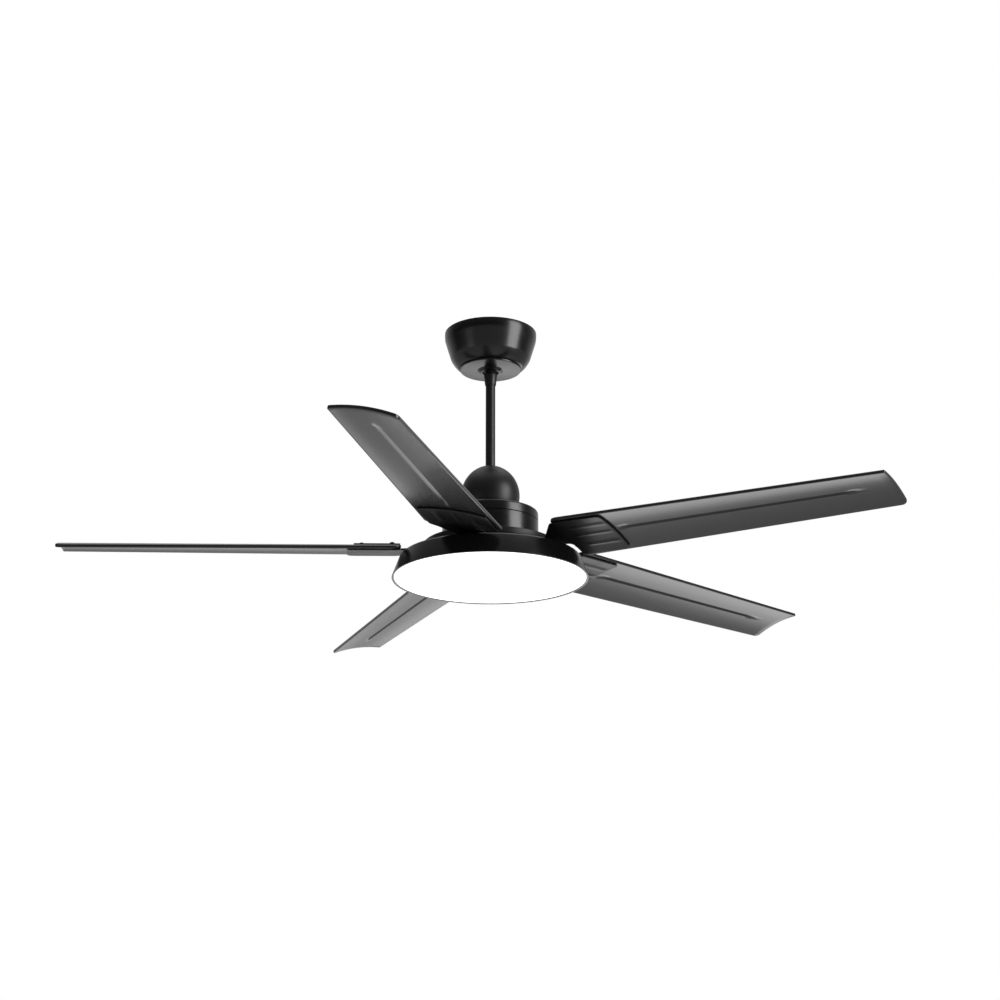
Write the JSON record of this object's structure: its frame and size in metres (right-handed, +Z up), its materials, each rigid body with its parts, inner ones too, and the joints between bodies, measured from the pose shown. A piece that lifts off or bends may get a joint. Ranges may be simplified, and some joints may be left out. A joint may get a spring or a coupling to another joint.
{
  "type": "ceiling fan with light",
  "caption": "Ceiling fan on a downrod: bell canopy, egg-shaped coupling cover, drum motor, flat pitched blades on plate brackets and a round flat light below.",
  "frame": {"origin": "centre of the hanger bracket's flat top face, where it lies against the ceiling", "axes": "+Z up, along the rod and the motor shaft; the fan hangs below the origin; the pictured side faces -Y"},
  "size_m": [1.3351, 1.3721, 0.4393],
  "materials": {
    "zinc_plated_steel": "bright zinc plate",
    "gloss_black_paint": "gloss black powder coat",
    "satin_black_paint": "satin black powder coat",
    "blade_black_abs": "satin black moulded ABS",
    "machined_steel": "machined",
    "electrical_steel": "laminated, dull",
    "enamelled_copper": "enamelled wire",
    "opal_acrylic": "opal, lit from inside",
    "white_board": "white solder mask",
    "dark_plastic": "moulded",
    "pale_plastic": "moulded"
  },
  "bodies": {
    "ceiling_mount": {"hanger_bracket": "zinc_plated_steel", "canopy": "gloss_black_paint", "canopy_cover": "gloss_black_paint", "canopy_screw_left": "zinc_plated_steel", "canopy_screw_right": "zinc_plated_steel", "remote_receiver": "pale_plastic", "terminal_block": "pale_plastic"},
    "swivel_ball": {"hanger_ball": "satin_black_paint", "ball_pin": "machined_steel"},
    "hanging_unit": {"downrod": "satin_black_paint", "rod_collar": "satin_black_paint", "coupling_cover": "satin_black_paint", "coupling_yoke": "machined_steel", "yoke_pin": "zinc_plated_steel", "pin_clip": "machined_steel", "yoke_set_screw_left": "machined_steel", "yoke_set_screw_right": "machined_steel", "motor_shaft": "machined_steel", "upper_bearing_inner_ring": "machined_steel", "lower_bearing_inner_ring": "machined_steel", "stator_core": "electrical_steel", "stator_winding": "enamelled_copper", "light_mount_plate": "zinc_plated_steel", "shaft_nut": "zinc_plated_steel", "lamp_housing": "gloss_black_paint", "lamp_screw_a": "zinc_plated_steel", "lamp_screw_b": "zinc_plated_steel", "lamp_screw_c": "zinc_plated_steel", "led_board": "white_board", "led_driver": "dark_plastic", "wire_bundle": "dark_plastic"},
    "light_diffuser": {"diffuser": "opal_acrylic"},
    "rotor": {"upper_bearing_outer_ring": "machined_steel", "upper_bearing_balls": "machined_steel", "lower_bearing_outer_ring": "machined_steel", "lower_bearing_balls": "machined_steel", "rotor_ring": "electrical_steel", "motor_upper_shell": "gloss_black_paint", "motor_lower_shell": "gloss_black_paint", "blade_flange": "satin_black_paint", "blade_bracket_1": "satin_black_paint", "blade_bracket_2": "satin_black_paint", "blade_bracket_3": "satin_black_paint", "blade_bracket_4": "satin_black_paint", "blade_bracket_5": "satin_black_paint", "blade_1": "blade_black_abs", "blade_2": "blade_black_abs", "blade_3": "blade_black_abs", "blade_4": "blade_black_abs", "blade_5": "blade_black_abs", "blade_clamp_1": "satin_black_paint", "blade_clamp_2": "satin_black_paint", "blade_clamp_3": "satin_black_paint", "blade_clamp_4": "satin_black_paint", "blade_clamp_5": "satin_black_paint", "bracket_screws_1": "zinc_plated_steel", "bracket_screws_2": "zinc_plated_steel", "bracket_screws_3": "zinc_plated_steel", "bracket_screws_4": "zinc_plated_steel", "bracket_screws_5": "zinc_plated_steel"}
  },
  "joints": [
    {"name": "ball_swing", "type": "hinge", "parent": "ceiling_mount", "child": "swivel_ball", "pos_m": [0, 0, -0.043], "axis": [0, 1, 0], "range_deg": [-6, 6]},
    {"name": "rod_swing", "type": "hinge", "parent": "swivel_ball", "child": "hanging_unit", "pos_m": [0, 0, -0.043], "axis": [1, 0, 0], "range_deg": [-6, 6]},
    {"name": "rotor_spin", "type": "hinge", "parent": "hanging_unit", "child": "rotor", "pos_m": [0, 0, -0.3557], "axis": [0, 0, 1], "continuous": true},
    {"name": "diffuser_twist", "type": "hinge", "parent": "hanging_unit", "child": "light_diffuser", "pos_m": [0, 0, -0.436], "axis": [0, 0, 1], "range_deg": [0, 24]}
  ]
}
